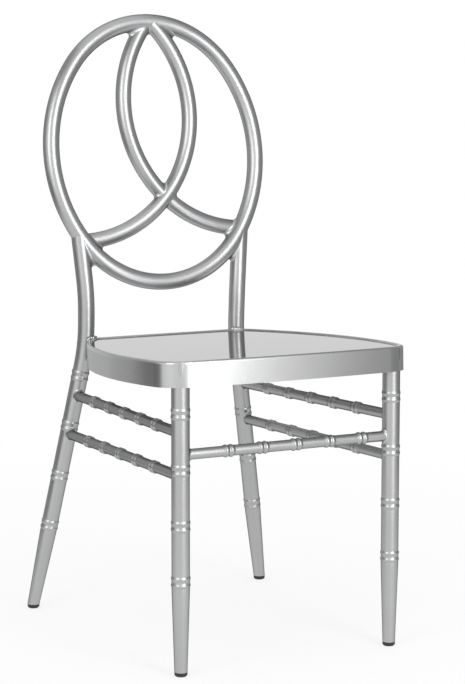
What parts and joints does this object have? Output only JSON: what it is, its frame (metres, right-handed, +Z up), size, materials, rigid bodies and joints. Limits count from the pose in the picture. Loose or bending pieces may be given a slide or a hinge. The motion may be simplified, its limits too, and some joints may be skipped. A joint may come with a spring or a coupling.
{
  "type": "metal banquet chair",
  "caption": "Welded tubular banquet chair with an oval ring back crossed by two arcs, a shallow dished seat pan and beaded legs and stretchers.",
  "frame": {"origin": "on the floor, under the middle of the chair's bounding box", "axes": "+Z up, the front of the chair faces -Y, +X is to the right seen from the front"},
  "size_m": [0.4218, 0.4848, 0.9196],
  "materials": {
    "frame_paint": "silver metallic paint, semi-gloss",
    "seat_paint": "silver metallic paint, gloss",
    "glide_plastic": "moulded black plastic"
  },
  "bodies": {
    "root": {"back_ring": "frame_paint", "back_arc_right": "frame_paint", "back_arc_left_upper": "frame_paint", "back_arc_left_lower": "frame_paint", "rear_leg_right": "frame_paint", "rear_leg_left": "frame_paint", "front_leg_right": "frame_paint", "front_leg_left": "frame_paint", "side_stretcher_right_upper": "frame_paint", "side_stretcher_right_lower": "frame_paint", "side_stretcher_left_upper": "frame_paint", "side_stretcher_left_lower": "frame_paint", "front_stretcher": "frame_paint", "seat_plate": "seat_paint", "seat_rim": "seat_paint", "foot_glide_front_right": "glide_plastic", "foot_glide_front_left": "glide_plastic", "foot_glide_rear_right": "glide_plastic", "foot_glide_rear_left": "glide_plastic"}
  },
  "joints": []
}
